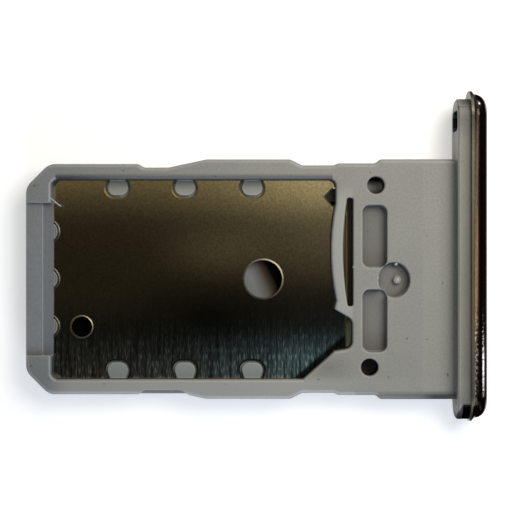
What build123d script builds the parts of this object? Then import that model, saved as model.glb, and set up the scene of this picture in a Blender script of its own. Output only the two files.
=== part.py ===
from build123d import *
import os
from math import sqrt

# Nano size sim card tray, in millimetres. It lies flat with +Z up. +X points out of the phone,
# towards the end cap, and the eject hole is on the +Y side. The origin is below the middle of the
# whole tray, on the surface that it lies on. Places along Y that the carrier's features give are
# measured from the carrier's own middle line, which lies to one side of the cap's.

# Card that the pocket takes
card_length = 12.3
card_width = 8.8
card_side_play = 0.05
card_end_play = 0.12

# Heights, from the table up
cap_height = 2.3
carrier_lift = 0.35
under_lip = 0.2
plate_thickness = 0.2
pocket_depth = 0.75

# Lengths along X, from the leading end to the cap
lead_bar = 1.15
arm_thickness = 0.53
slot_room = 0.45
deck_length = 4.57
flange_thickness = 0.57
cap_thickness = 0.78

# Side walls, measured out from the card pocket
lead_wall = 0.68
catch_wall = 0.52
bump_wall = 0.885
waist_wall = 0.62
shoulder_wall = 0.71
rail_wall = 0.89

# Outline of the long sides, measured from the leading end
catch_start = 5.0
catch_ramp = 0.28
catch_floor = 1.05
bump_start = 8.03
bump_ramp = 0.96
bump_length = 3.73
bump_fall = 0.54

# Ledge opposite the catch: only the upper part of the wall steps in
ledge_wall = 0.47
ledge_floor = 1.6
ledge_ramp = 0.7
ledge_depth = 0.6

# Outline beside the deck, measured from the slot behind the spring arm
shoulder_start = -0.66
rail_start = 1.2
outline_step = 0.2

# Edges of the carrier
lead_chamfer = 1.02
lead_corner = 0.7
outline_corner = 0.25
top_rounding = 0.2
bottom_edge = 0.08
rim_edge = 0.05
rim_flare = 45

# Card pocket, with the keyed corner that lets the card in one way round
pocket_rim = 0.15
pocket_corner = 0.3
key_inset = 1.25
key_length = 1.13
key_rise = 1.0
key_step = 0.26
key_corner = 0.12

# Spring arm, bowed into the pocket: a root is measured from the pocket's far wall, a rise from its near wall
bow_radius = 10.4
bow_back_radius = 15.0
bow_rise = 5.75
arm_root = 1.05
arm_rise = 3.5
arm_lift = 0.03
nub_reach = 0.1
nub_rise = 3.13
nub_corner = 0.1

# Slot behind the arm
slot_root = 0.83
slot_rise = 3.25
slot_corner = 0.1

# Finger notch below the arm
finger_inset = 0.03
finger_top_rise = 2.65
finger_rise = 1.4
finger_fall = 0.15
finger_corner = 0.35

# Saddle in the leading bar, with a slope down into the pocket
saddle_length = 6.82
saddle_depth = 0.15
saddle_slope = 0.4
saddle_drop = 0.45

# Steel plate, held in the carrier's walls
plate_embed = 0.3
plate_lead_embed = 0.6
plate_past_arm = 0.2
plate_corner = 0.35
plate_rim = 0.07
lip_reach = 0.95
lip_lead_reach = 0.3

# Notches in the plate's long edges, and the tabs that fill them, each widest at a hip beyond its neck
notch_width = 1.1
notch_depth = 0.79
notch_hip = 0.3
notch_neck = 0.2
notch_count = 3
notch_pitch = 3.02
notch_first = 2.87
notch_corner = 0.42
tab_gap = 0.1
tab_corner = 0.34

# Round scallops in the plate's leading edge
scallop_radius = 0.45
scallop_bulge = 0.16
scallop_count = 3
scallop_pitch = 2.13
scallop_gap = 0.06

# Holes and relief slit in the plate
big_hole = 1.7
big_hole_place = 9.41
small_hole = 0.92
small_hole_place = 1.25
small_hole_side = -2.15
slit_root = 0.77
slit_width = 0.74
slit_mouth = 0.6
slit_point = 0.37

# Deck behind the pocket, measured from the slot behind the spring arm
recess_depth = 0.45
recess_corner = 0.33
recess_width = 1.08
recess_length = 2.78
recess_place = 0.96
upper_recess_side = 1.91
lower_recess_side = -1.84
pin_hole = 0.77
upper_pin_place = 1.01
upper_pin_side = 4.18
lower_pin_place = 0.73
lower_pin_side = -3.91
gate_width = 1.4
gate_length = 1.58
gate_place = 1.82
gate_side = -0.03
gate_depth = 0.3
gate_nub = 0.36
gate_nub_height = 0.2
gate_nub_shift = 0.14
gate_nub_rounding = 0.08

# Flange and end cap
overhang_far = 3.04
overhang_near = 0.98
flange_inset = 0.2
flange_far_inset = 0.35
flange_near_inset = 0.08
flange_edge = 0.08
heel_length = 0.82
heel_skin = 0.23
cap_side_band = 0.12
cap_chamfer = 0.13
eject_hole = 0.9
eject_inset = 1.35
relief_room = 0.01
relief_height = 1.5
relief_corner = 0.28

# Places worked out from the sizes above
overall_length = (lead_bar + card_length + card_end_play + arm_thickness + slot_room + deck_length
                  + flange_thickness + cap_thickness)
lead_end = -overall_length / 2
pocket_left = lead_end + lead_bar
bow_x = pocket_left + card_length + card_end_play
slot_wall = bow_x + arm_thickness + slot_room
flange_back = slot_wall + deck_length
cap_back = flange_back + flange_thickness
cap_front = cap_back + cap_thickness

pocket_half = card_width / 2 + card_side_play
lead_half = pocket_half + lead_wall
rail_half = pocket_half + rail_wall
cap_length = 2 * rail_half + overhang_far + overhang_near
carrier_side = (overhang_near - overhang_far) / 2
eject_side = cap_length / 2 - eject_inset

plate_bottom = carrier_lift + under_lip
plate_top = plate_bottom + plate_thickness
carrier_top = plate_top + pocket_depth
cap_middle = cap_height / 2
cap_radius = cap_height / 2
flange_radius = cap_radius - flange_inset
plate_right = bow_x + arm_thickness + plate_past_arm

bow_middle = bow_rise - pocket_half
arm_top = pocket_half - arm_root
arm_bottom = arm_rise - pocket_half
slot_top = pocket_half - slot_root
slot_bottom = slot_rise - pocket_half

# Overrun of a cutting body past the face that it leaves
clear = 1.0


def rounded_face(edges, corners):
    """Face inside a closed outline, with each listed (points, radius) group of corners rounded."""
    face = make_face(edges)
    for points, radius in corners:
        vertices = [face.vertices().sort_by_distance((x, y, 0))[0] for x, y in points]
        face = fillet(vertices, radius)
    return face


def between(face, low, high):
    """Upright solid of a flat outline between two heights."""
    return Pos(0, 0, low) * extrude(face, amount=high - low)


def sunk(face, floor):
    """Cutter from a floor up through the carrier's top, with a flared rim."""
    rim = extrude(face, amount=2 * rim_edge, taper=-rim_flare)
    return between(face, floor, carrier_top) + Pos(0, 0, carrier_top - rim_edge) * rim


def rectangle(left, right, bottom, top):
    """Flat rectangle between its sides."""
    return Pos((left + right) / 2, (bottom + top) / 2) * Rectangle(right - left, top - bottom)


def bowed(side, crown, radius):
    """X at a place along Y on an edge that bows towards the pocket, with its crown at bow_middle."""
    return crown + radius - sqrt(radius ** 2 - (side - bow_middle) ** 2)


def arm_front(side):
    """X of the arm's face on the pocket's side."""
    return bowed(side, bow_x, bow_radius)


def arm_back(side):
    """X of the arm's face on the slot's side."""
    return bowed(side, bow_x + arm_thickness, bow_back_radius)


def arm_arc(face, top, bottom):
    """One bowed edge of the arm from one place along Y to another."""
    return ThreePointArc((face(top), top), (face(bow_middle), bow_middle), (face(bottom), bottom))


def side_outline(side, stations):
    """Corner points along one long side of the carrier, from (place along X, wall) pairs."""
    return [(x, side * (pocket_half + wall)) for x, wall in stations]


def carrier_outline():
    """The carrier seen from above: catch on the +Y side, bumps, waist and rails on both."""
    bump_end = lead_end + bump_start + bump_length
    deck_stations = [
        (lead_end + bump_start, bump_wall),
        (bump_end, bump_wall),
        (bump_end + bump_fall, waist_wall),
        (slot_wall + shoulder_start - outline_step, waist_wall),
        (slot_wall + shoulder_start, shoulder_wall),
        (slot_wall + rail_start - outline_step, shoulder_wall),
        (slot_wall + rail_start, rail_wall),
    ]
    catch_stations = [
        (lead_end + catch_start, lead_wall),
        (lead_end + catch_start + catch_ramp, catch_wall),
        (lead_end + catch_start + catch_ramp + catch_floor, catch_wall),
    ]
    plain_stations = [(lead_end + bump_start - bump_ramp, lead_wall)]
    far_side = side_outline(1, catch_stations + deck_stations)
    near_side = side_outline(-1, plain_stations + deck_stations)
    lead = [
        (lead_end + lead_chamfer, -lead_half),
        (lead_end, lead_chamfer - lead_half),
        (lead_end, lead_half - lead_chamfer),
        (lead_end + lead_chamfer, lead_half),
    ]
    tail = [(flange_back, rail_half), (flange_back, -rail_half)]
    points = lead + far_side + tail + near_side[::-1]
    corners = [(lead, lead_corner), (far_side + near_side, outline_corner)]
    return rounded_face(Polyline(*points, close=True), corners)


def pocket_outline():
    """The card pocket at its floor, with the bowed arm, the finger notch and the keyed corner."""
    far_left = (pocket_left, pocket_half)
    near_left = (pocket_left, -pocket_half)
    far_right = (arm_front(arm_top), pocket_half)
    arm_start = (arm_front(arm_top), arm_top)
    arm_end = (arm_front(arm_bottom), arm_bottom)
    nub = (arm_end[0] - nub_reach, nub_rise - pocket_half)
    finger_x = slot_wall - finger_inset
    finger_far = (finger_x, finger_top_rise - pocket_half)
    finger_near = (finger_x, finger_rise - pocket_half)
    key_low = (bow_x - key_inset, -pocket_half)
    key_high = (key_low[0] + key_length, key_low[1] + key_rise)
    key_end = (key_high[0] + key_step, finger_near[1] - finger_fall)
    edges = [
        Polyline(near_left, far_left, far_right, arm_start),
        arm_arc(arm_front, arm_top, arm_bottom),
        Polyline(arm_end, nub, finger_far, finger_near, key_end, key_high, key_low, near_left),
    ]
    corners = [
        ([near_left, far_left, far_right], pocket_corner),
        ([finger_far, finger_near], finger_corner),
        ([nub], nub_corner),
        ([key_end, key_high], key_corner),
    ]
    return rounded_face(edges, corners)


def slot_outline():
    """The slot that frees the arm from the deck."""
    far_arm = (arm_back(slot_top), slot_top)
    near_arm = (arm_back(slot_bottom), slot_bottom)
    far_deck = (slot_wall, slot_top)
    near_deck = (slot_wall, slot_bottom)
    edges = [
        arm_arc(arm_back, slot_top, slot_bottom),
        Polyline(near_arm, near_deck, far_deck, far_arm),
    ]
    return rounded_face(edges, [([far_arm, far_deck, near_deck, near_arm], slot_corner)])


def arm_blank():
    """Plan of the arm alone, which stands clear of the plate."""
    return make_face([
        arm_arc(arm_front, arm_top, arm_bottom),
        Line((arm_front(arm_bottom), arm_bottom), (arm_back(arm_bottom), arm_bottom)),
        arm_arc(arm_back, arm_top, arm_bottom),
        Line((arm_back(arm_top), arm_top), (arm_front(arm_top), arm_top)),
    ])


def edge_tongue(x, side, width, depth, corner):
    """Round-nosed tongue with a narrower neck that reaches into the pocket from under one long wall."""
    nose = side * (pocket_half - depth)
    hip = side * (pocket_half - notch_hip)
    root = side * (pocket_half + plate_embed)
    left = x - width / 2
    right = x + width / 2
    points = [
        (left + notch_neck, root),
        (left, hip),
        (left, nose),
        (right, nose),
        (right, hip),
        (right - notch_neck, root),
    ]
    return rounded_face(Polyline(*points, close=True), [(points[2:4], corner)])


def notch_places():
    """X places of the notches, with the side of the pocket that each is on."""
    for index in range(notch_count):
        for side in (1, -1):
            yield pocket_left + notch_first + index * notch_pitch, side


def scallop_places():
    """Centres of the scallops along the pocket's leading wall."""
    for index in range(scallop_count):
        side = (index - (scallop_count - 1) / 2) * scallop_pitch
        yield pocket_left + scallop_bulge - scallop_radius, side


def plate_blank():
    """The plate's outline before its notches, holes and slit are stamped."""
    left = pocket_left - plate_lead_embed
    half = pocket_half + plate_embed
    points = [(left, -half), (left, half), (plate_right, half), (plate_right, -half)]
    return rounded_face(Polyline(*points, close=True), [(points, plate_corner)])


def make_floor_plate():
    """Stamped stainless floor of the pocket."""
    face = plate_blank()
    for x, side in notch_places():
        face -= edge_tongue(x, side, notch_width, notch_depth, notch_corner)
    for x, side in scallop_places():
        face -= Pos(x, side) * Circle(scallop_radius + scallop_gap)
    face -= Pos(pocket_left + big_hole_place, 0) * Circle(big_hole / 2)
    face -= Pos(pocket_left + small_hole_place, small_hole_side) * Circle(small_hole / 2)
    slit_left = plate_right - slit_mouth
    slit_side = pocket_half - slit_root
    slit = Polyline(
        (slit_left - slit_point, slit_side),
        (slit_left, slit_side + slit_width / 2),
        (plate_right + clear, slit_side + slit_width / 2),
        (plate_right + clear, slit_side - slit_width / 2),
        (slit_left, slit_side - slit_width / 2),
        close=True,
    )
    face -= make_face(slit)
    plate = between(face, plate_bottom, plate_top)
    rim = plate.faces().sort_by(Axis.Z)[-1].edges()
    return chamfer(rim, plate_rim)


def free_edges(face):
    """Edges of a face, apart from the one that meets the flange."""
    return face.edges().filter_by(lambda edge: edge.center().X < flange_back - bottom_edge)


def make_carrier_body():
    """The carrier's block with rounded outer edges and the ledge opposite the catch."""
    body = between(carrier_outline(), carrier_lift, carrier_top)
    body = fillet(free_edges(body.faces().sort_by(Axis.Z)[-1]), top_rounding)
    body = chamfer(free_edges(body.faces().sort_by(Axis.Z)[0]), bottom_edge)
    ledge_x = lead_end + catch_start + catch_ramp
    ramp_x = ledge_x + ledge_floor
    ledge = Polyline(
        (lead_end + catch_start, -rail_half - clear),
        (lead_end + catch_start, -lead_half),
        (ledge_x, -pocket_half - ledge_wall),
        (ramp_x, -pocket_half - ledge_wall),
        (ramp_x + ledge_ramp, -pocket_half - bump_wall),
        (ramp_x + ledge_ramp, -rail_half - clear),
        close=True,
    )
    return body - between(make_face(ledge), carrier_top - ledge_depth, carrier_top + clear)


def make_saddle():
    """Cutter for the low middle of the leading bar and its slope into the pocket."""
    floor = carrier_top - saddle_depth
    profile = Polyline(
        (lead_end - clear, carrier_top + clear),
        (lead_end - clear, floor),
        (pocket_left - saddle_slope, floor),
        (pocket_left, floor - saddle_drop),
        (pocket_left + clear, floor - saddle_drop),
        (pocket_left + clear, carrier_top + clear),
        close=True,
    )
    return extrude(Plane.XZ * make_face(profile), amount=saddle_length / 2, both=True)


def cut_deck(body):
    """Sink marks, tooling holes and the moulding gate in the deck."""
    floor = carrier_top - recess_depth
    for side in (upper_recess_side, lower_recess_side):
        recess = RectangleRounded(recess_width, recess_length, recess_corner)
        body -= sunk(Pos(slot_wall + recess_place, side) * recess, floor)
    pins = [(upper_pin_place, upper_pin_side), (lower_pin_place, lower_pin_side)]
    for place, side in pins:
        hole = Pos(slot_wall + place, side) * Circle(pin_hole / 2)
        body -= sunk(hole, carrier_lift - clear)
    gate_floor = carrier_top - gate_depth
    gate = Pos(slot_wall + gate_place, gate_side) * Ellipse(gate_width / 2, gate_length / 2)
    body -= sunk(gate, gate_floor)
    nub = between(Circle(gate_nub / 2), gate_floor, gate_floor + gate_nub_height)
    nub = fillet(nub.faces().sort_by(Axis.Z)[-1].edges(), gate_nub_rounding)
    return body + Pos(slot_wall + gate_place + gate_nub_shift, gate_side) * nub


def pill(half_profile, radius, length):
    """Round-ended solid across X, from half of its section in X and distance from its middle."""
    half = Plane.XZ * make_face(half_profile)
    run = length / 2 - radius
    solid = extrude(half + mirror(half, about=Plane.XY), amount=run, both=True)
    end = revolve(half, axis=Axis.X)
    return Pos(0, 0, cap_middle) * (solid + Pos(0, run, 0) * end + Pos(0, -run, 0) * end)


def make_collar():
    """Round-ended block behind the cap, which the flange and the cap's heel share."""
    profile = Polyline(
        (flange_back, 0),
        (flange_back, flange_radius - flange_edge),
        (flange_back + flange_edge, flange_radius),
        (cap_back, flange_radius),
        (cap_back, 0),
        close=True,
    )
    length = cap_length - flange_far_inset - flange_near_inset
    shift = (flange_near_inset - flange_far_inset) / 2
    return Pos(0, shift, 0) * pill(profile, flange_radius, length)


def heel_block():
    """Space of the cap's heel, at the near end of the collar."""
    face = rectangle(flange_back + heel_skin, cap_back, -cap_length, heel_length - cap_length / 2)
    return between(face, -clear, cap_height + clear)


def through_x(face, start, length):
    """Cutter along X at the eject pin's place, from an outline seen along X."""
    return Pos(start, eject_side, cap_middle) * extrude(Plane.YZ * face, amount=length)


def make_carrier_frame():
    """Moulded plastic carrier with its spring arm, tabs and flange."""
    body = make_carrier_body()
    body -= between(pocket_outline(), plate_top, carrier_top + clear)
    body = fillet(body.faces().sort_by(Axis.Z)[-1].inner_wires()[0].edges(), pocket_rim)
    body -= sunk(slot_outline(), carrier_lift - clear)
    body = cut_deck(body)
    body -= between(arm_blank(), plate_top, plate_top + arm_lift)
    past_plate = rectangle(plate_right, cap_front, -rail_half, rail_half)
    body -= between(pocket_outline() & past_plate, carrier_lift - clear, plate_top)
    window_half = pocket_half - lip_reach
    window = rectangle(pocket_left + lip_lead_reach, slot_wall, -window_half, window_half)
    body -= between(window, carrier_lift - clear, plate_bottom)
    body -= make_saddle()
    body -= between(plate_blank(), plate_bottom, plate_top)
    for x, side in notch_places():
        tab = edge_tongue(x, side, notch_width - 2 * tab_gap, notch_depth - tab_gap, tab_corner)
        body += between(tab, plate_bottom, plate_top)
    for x, side in scallop_places():
        body += between(Pos(x, side) * Circle(scallop_radius), plate_bottom, plate_top)
    flange = make_collar() - heel_block()
    relief = RectangleRounded(eject_hole + 2 * relief_room, relief_height, relief_corner)
    flange -= through_x(relief, flange_back - clear, flange_thickness + clear)
    return Pos(0, carrier_side, 0) * body + flange


def make_end_cap():
    """Metal trim cap with a chamfered, round-edged front and a heel beside the flange's near end."""
    front_rounding = cap_thickness - cap_side_band - cap_chamfer
    edge_radius = cap_radius - cap_chamfer
    start = (cap_front - front_rounding, edge_radius)
    finish = (cap_front, edge_radius - front_rounding)
    half_profile = [
        Polyline(
            finish,
            (cap_front, 0),
            (cap_back, 0),
            (cap_back, cap_radius),
            (cap_back + cap_side_band, cap_radius),
            start,
        ),
        TangentArc(start, finish, tangent=(1, 0)),
    ]
    cap = pill(half_profile, cap_radius, cap_length)
    heel = make_collar() & heel_block()
    bore = through_x(Circle(eject_hole / 2), cap_back, cap_thickness + clear)
    return cap + heel - bore


nodes = {
    "carrier_frame": make_carrier_frame(),
    "floor_plate": Pos(0, carrier_side, 0) * make_floor_plate(),
    "end_cap": make_end_cap(),
}

os.makedirs("parts", exist_ok=True)
for name, solid in nodes.items():
    export_step(solid, f"parts/{name}.step")
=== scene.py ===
import math

import bmesh
import bpy
from mathutils import Matrix, Vector


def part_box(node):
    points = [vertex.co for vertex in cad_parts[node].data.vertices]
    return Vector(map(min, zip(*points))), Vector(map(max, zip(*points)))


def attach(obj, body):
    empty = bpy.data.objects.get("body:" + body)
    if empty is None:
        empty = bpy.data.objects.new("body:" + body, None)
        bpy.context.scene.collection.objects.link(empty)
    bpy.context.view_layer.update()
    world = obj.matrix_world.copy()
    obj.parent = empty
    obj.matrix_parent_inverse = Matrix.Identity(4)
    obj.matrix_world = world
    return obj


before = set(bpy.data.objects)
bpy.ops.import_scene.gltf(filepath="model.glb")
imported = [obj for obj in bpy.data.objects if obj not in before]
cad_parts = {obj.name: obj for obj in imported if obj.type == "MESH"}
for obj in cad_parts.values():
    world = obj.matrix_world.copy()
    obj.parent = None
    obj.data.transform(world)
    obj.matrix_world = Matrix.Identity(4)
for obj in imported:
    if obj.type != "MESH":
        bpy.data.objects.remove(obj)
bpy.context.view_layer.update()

# Sim card tray seen from straight above. Sizes are in millimetres until mm() turns them to metres.

# Camera, which looks straight down with +Y up in the picture
camera_height = 60.75
focal_length = 93.87
sensor_width = 36.0

# Key panel over the picture's upper right
key_azimuth = 42
key_elevation = 50
key_distance = 52
key_size = 36
key_power = 0.0205
key_tint = "#FFFAF0"

# Small lamp beside the key, which lights the cap without a broad reflection in its gloss coat
cap_key_size = 10
cap_key_power = 0.0205

# Weak cool fill from the near side
fill_place = (4.0, -56.0, 24.0)
fill_size = 30
fill_power = 0.017
fill_tint = "#D6E6FF"

# Strip lamp beside the cap, which draws the white streak on its rounded edge
strip_place = (60.0, -9.2, 15.0)
strip_target = (10.0, -4.4, 1.5)
strip_width = 2.0
strip_height = 20.0
strip_power = 0.0042

# Small lamp for the glint on the cap's far end, white as the strip lamp is
lamp_white = "#FFFFFF"
glint_place = (38.0, 57.0, 15.0)
glint_target = (9.75, 6.76, 1.9)
glint_size = 12.0
glint_power = 0.012

# Dark reflector card above the camera, which the steel plate mirrors. Its tones change within card_fade of
# the middle along Y and from its dim to its bright side along X, with a dark, a light and a far patch
card_height = 66
card_left = -80
card_right = 16
card_half = 40
card_fade = 12
card_dim_side = -17
card_bright_side = 6
card_patches = [
    ((-4, -5.8), (10, 5), 0.12),
    ((-4, 0.3), (6, 3), 2.2),
    ((3, 7), (9, 3), 1.25),
]

# Black flags, which the cap mirrors: upright to the right, overhead, on the floor before its front and
# beyond its ends, and a small one upright at the near side
flag_place = 75
flag_height = 110
flag_half = 70
flag_start = 13.5
flag_rise = 0.02
flag_end_left = 5.0
flag_gap = 7.8
small_flag_place = -16
small_flag_left = 7
small_flag_right = 16
small_flag_height = 11

# Sheets of painted shade just below the tray, which show through its holes: left, right, near and far sides
mat_height = 0.33
mats = [
    ("plate_shade_sheet", -8.5, 3.8, -4.3, 3.3),
    ("deck_shade_sheet", 3.8, 6.0, -5.5, 3.7),
]

# Pale table
floor_size = 2000
floor_glow = 0.42

# Even surround
world_tint = "#E4ECF6"
world_strength = 0.36

# Bands of the cap along X, measured back from its front
cap_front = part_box("end_cap")[1].x * 1000
bronze_start = 0.63
black_start = 0.44
heel_front = cap_front - 0.79

# Places that the materials mark out, as low and high ends along some axes
arm_top = {"X": (2.9, 4.3), "Z": (1.4, 1.6)}
ledge = {"X": (-6.5, -1.5), "Y": (-6.5, -5.9), "Z": (0.8, 0.95)}
tab_tops = {"X": (-8.5, 2.3), "Z": (0.5, 0.85)}
recess_floors = {"X": (4.4, 7.2), "Z": (1.0, 1.25)}
gate_floor = {"X": (5.5, 7.05), "Y": (-1.85, -0.25), "Z": (1.15, 1.3)}
pocket_and_deck = {"X": (-9.2, 6.9), "Y": (-5.65, 3.6)}
eject_opening = {"X": (8.9, 9.46), "Y": (5.4, 6.6), "Z": (0.3, 1.95)}
plate_relief = {"X": (2.5, 3.6), "Y": (2.2, 3.45), "Z": (0.3, 0.8)}
pocket_far_lip = {"X": (-8.9, 3.4), "Y": (3.3, 3.8), "Z": (1.0, 1.6)}
lead_ramp = {"X": (-9.5, -9.05)}
deck_near_edge = {"X": (4.4, 8.9), "Y": (-6.6, -5.9), "Z": (1.3, 1.6)}
cap_scratch = {"X": (9.455, 9.53)}
arm_slot = {"X": (3.81, 4.4), "Y": (-2.65, 2.65)}

# Gate mark: the middle of its pale disc, beyond which a dark crescent of painted shadow is left, and its nub
gate_disc = (5.85, -1.15, 1.2)
gate_nub = (6.28, -1.06, 1.2)

# Run along X that the carrier's tone covers, and the cap's run along Y
tone_left = -10.5
tone_right = 9.5
cap_half = 7

# Slanted lines, as the share of X that is added to Y, and the sums between which they fade: the keyed
# corner's shadow on the plate, and the dark overspray at the flange's near end
key_slope = -0.85
key_lit = -6.82
key_dark = -7.0
spray_slope = -2.05
spray_start = -25.1
spray_full = -25.25

# Soft ovals on the carrier, as middle, half sizes and strength: painted shade at the keyed corner and
# the flange's near end, darker at the lead end's near corner, and lighter in the near recess. The
# flange's far tip is darkened apart
patches = [
    ((3.3, -4.95), (1.3, 0.8), 0.74),
    ((9.0, -6.9), (1.0, 1.3), 0.6),
    ((-9.6, -5.3), (1.0, 1.2), 0.82),
    ((5.32, -2.9), (0.9, 1.9), 1.2),
]
flange_tip = ((9.25, 6.2), (1.1, 1.15), 0.5)

# Band along Y in which the plate is punched from below
burr_middle = -1.19
burr_half = 3.09


def mm(value):
    """Millimetres to metres, for one length or a point."""
    if isinstance(value, (int, float)):
        return value / 1000
    return Vector(value) / 1000


def per_mm(size):
    """Texture scale whose features are about this many millimetres across."""
    return 1 / mm(size)


def colour(hex_code):
    """Linear colour with alpha from an sRGB hex value."""
    channels = [int(hex_code[i:i + 2], 16) / 255 for i in (1, 3, 5)]
    linear = [c / 12.92 if c <= 0.04045 else ((c + 0.055) / 1.055) ** 2.4 for c in channels]
    return (*linear, 1.0)


def grey(value):
    """Linear grey with alpha, for a ramp that gives a factor."""
    return (value, value, value, 1.0)


def add(tree, kind, links=None, stops=None, **settings):
    """Adds a node with its settings; links gives a socket a value or another node's output."""
    node = tree.nodes.new(kind)
    for name, value in settings.items():
        setattr(node, name, value)
    for key, value in (links or {}).items():
        if isinstance(value, bpy.types.NodeSocket):
            tree.links.new(value, node.inputs[key])
        else:
            node.inputs[key].default_value = value
    if stops:
        ramp = node.color_ramp
        while len(ramp.elements) < len(stops):
            ramp.elements.new(0.5)
        for element, (position, tint) in zip(ramp.elements, stops):
            element.position = position
            element.color = tint
    return node


def new_material(name):
    """Empty node material, its tree and the socket that takes its shader."""
    material = bpy.data.materials.new(name)
    material.use_nodes = True
    material.node_tree.nodes.clear()
    output = material.node_tree.nodes.new("ShaderNodeOutputMaterial")
    return material, material.node_tree, output.inputs["Surface"]


def within(tree, across, **ranges):
    """Factor that is one inside a box, given as low and high along some axes, and zero outside it."""
    inside = 1.0
    for axis, (low, high) in ranges.items():
        band = add(tree, "ShaderNodeMath", {
            0: across.outputs[axis], 1: mm((low + high) / 2), 2: mm((high - low) / 2),
        }, operation="COMPARE")
        both = add(tree, "ShaderNodeMath", {0: band.outputs["Value"], 1: inside}, operation="MULTIPLY")
        inside = both.outputs["Value"]
    return inside


def soft_patch(tree, place, middle, size, strength):
    """Factor that is this strong in the middle of an oval seen from above and fades to one at its rim."""
    centred = add(tree, "ShaderNodeVectorMath", {
        0: place, 1: mm((middle[0], middle[1], 0)),
    }, operation="SUBTRACT")
    squeezed = add(tree, "ShaderNodeVectorMath", {
        0: centred.outputs["Vector"], 1: (per_mm(size[0]), per_mm(size[1]), 0),
    }, operation="MULTIPLY")
    reach = add(tree, "ShaderNodeVectorMath", {0: squeezed.outputs["Vector"]}, operation="LENGTH")
    fade = add(tree, "ShaderNodeMapRange", {
        "Value": reach.outputs["Value"], "To Min": strength, "To Max": 1.0,
    })
    return fade.outputs["Result"]


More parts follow.
